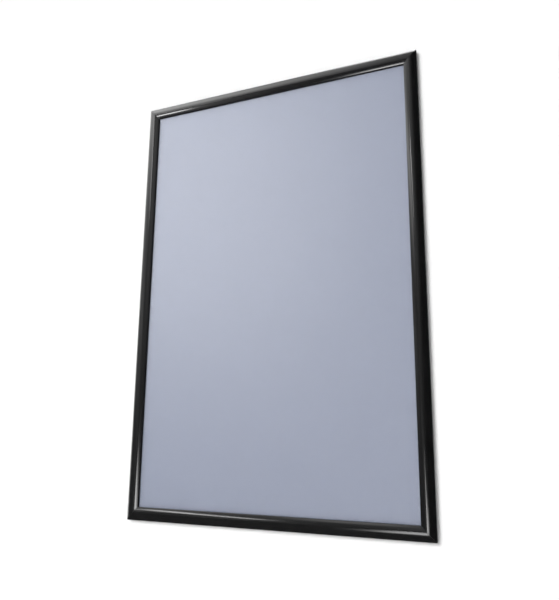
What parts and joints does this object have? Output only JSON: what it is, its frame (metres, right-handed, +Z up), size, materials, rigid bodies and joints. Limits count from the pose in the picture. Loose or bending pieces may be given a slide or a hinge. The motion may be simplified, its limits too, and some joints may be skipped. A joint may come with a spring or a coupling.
{
  "type": "poster frame",
  "caption": "Upright wall poster frame with mitred rails whose sprung flaps snap open, corner brackets, back panel, plain poster sheet and clear cover.",
  "frame": {"origin": "On the back face of the top rail, in the middle of the frame's width, on the line of the top rail's fixing holes", "axes": "+Y into the wall, so the frame faces -Y; +Z up; +X to the right as seen from the front"},
  "size_m": [0.6476, 0.0137, 0.9524],
  "materials": {
    "black_coated_aluminium": "satin black coating",
    "zinc_plated_steel": "zinc plated",
    "spring_steel": "blued spring steel",
    "blackened_steel": "black oxide",
    "panel_polystyrene": "matte",
    "poster_paper": "plain, matt",
    "clear_film": "clear, anti-glare"
  },
  "bodies": {
    "frame_base": {"base_rail_top": "black_coated_aluminium", "base_rail_bottom": "black_coated_aluminium", "base_rail_left": "black_coated_aluminium", "base_rail_right": "black_coated_aluminium", "corner_bracket_top_left": "zinc_plated_steel", "corner_bracket_top_right": "zinc_plated_steel", "corner_bracket_bottom_left": "zinc_plated_steel", "corner_bracket_bottom_right": "zinc_plated_steel", "grub_screw_top_left_1": "blackened_steel", "grub_screw_top_left_2": "blackened_steel", "grub_screw_top_right_1": "blackened_steel", "grub_screw_top_right_2": "blackened_steel", "grub_screw_bottom_left_1": "blackened_steel", "grub_screw_bottom_left_2": "blackened_steel", "grub_screw_bottom_right_1": "blackened_steel", "grub_screw_bottom_right_2": "blackened_steel", "back_panel": "panel_polystyrene", "poster_insert": "poster_paper", "cover_sheet": "clear_film"},
    "top_flap": {"flap_top": "black_coated_aluminium"},
    "bottom_flap": {"flap_bottom": "black_coated_aluminium"},
    "left_flap": {"flap_left": "black_coated_aluminium"},
    "right_flap": {"flap_right": "black_coated_aluminium"},
    "top_springs": {"spring_top_1": "spring_steel", "spring_top_2": "spring_steel"},
    "bottom_springs": {"spring_bottom_1": "spring_steel", "spring_bottom_2": "spring_steel"},
    "left_springs": {"spring_left_1": "spring_steel", "spring_left_2": "spring_steel", "spring_left_3": "spring_steel"},
    "right_springs": {"spring_right_1": "spring_steel", "spring_right_2": "spring_steel", "spring_right_3": "spring_steel"}
  },
  "joints": [
    {"name": "top_flap_hinge", "type": "hinge", "parent": "frame_base", "child": "top_flap", "pos_m": [0, -0.00642, 0.0064], "axis": [-1, 0, 0], "range_deg": [0, 90]},
    {"name": "bottom_flap_hinge", "type": "hinge", "parent": "frame_base", "child": "bottom_flap", "pos_m": [0, -0.00642, -0.94319], "axis": [1, 0, 0], "range_deg": [0, 90]},
    {"name": "left_flap_hinge", "type": "hinge", "parent": "frame_base", "child": "left_flap", "pos_m": [-0.3224, -0.00642, -0.4684], "axis": [0, 0, -1], "range_deg": [0, 90]},
    {"name": "right_flap_hinge", "type": "hinge", "parent": "frame_base", "child": "right_flap", "pos_m": [0.3224, -0.00642, -0.4684], "axis": [0, 0, 1], "range_deg": [0, 90]},
    {"name": "top_spring_swing", "type": "hinge", "parent": "frame_base", "child": "top_springs", "pos_m": [0, -0.0051, -0.00875], "axis": [-1, 0, 0], "range_deg": [-17.75, 0], "deforming": ["spring_top_1", "spring_top_2"]},
    {"name": "bottom_spring_swing", "type": "hinge", "parent": "frame_base", "child": "bottom_springs", "pos_m": [0, -0.0051, -0.92805], "axis": [1, 0, 0], "range_deg": [-17.75, 0], "deforming": ["spring_bottom_1", "spring_bottom_2"]},
    {"name": "left_spring_swing", "type": "hinge", "parent": "frame_base", "child": "left_springs", "pos_m": [-0.30725, -0.0051, -0.4684], "axis": [0, 0, -1], "range_deg": [-17.75, 0], "deforming": ["spring_left_1", "spring_left_2", "spring_left_3"]},
    {"name": "right_spring_swing", "type": "hinge", "parent": "frame_base", "child": "right_springs", "pos_m": [0.30725, -0.0051, -0.4684], "axis": [0, 0, 1], "range_deg": [-17.75, 0], "deforming": ["spring_right_1", "spring_right_2", "spring_right_3"]}
  ],
  "couplings": [
    {"joint": "top_spring_swing", "follows": "top_flap_hinge", "ratio": -0.1969},
    {"joint": "bottom_spring_swing", "follows": "bottom_flap_hinge", "ratio": -0.1969},
    {"joint": "left_spring_swing", "follows": "left_flap_hinge", "ratio": -0.1969},
    {"joint": "right_spring_swing", "follows": "right_flap_hinge", "ratio": -0.1969}
  ]
}
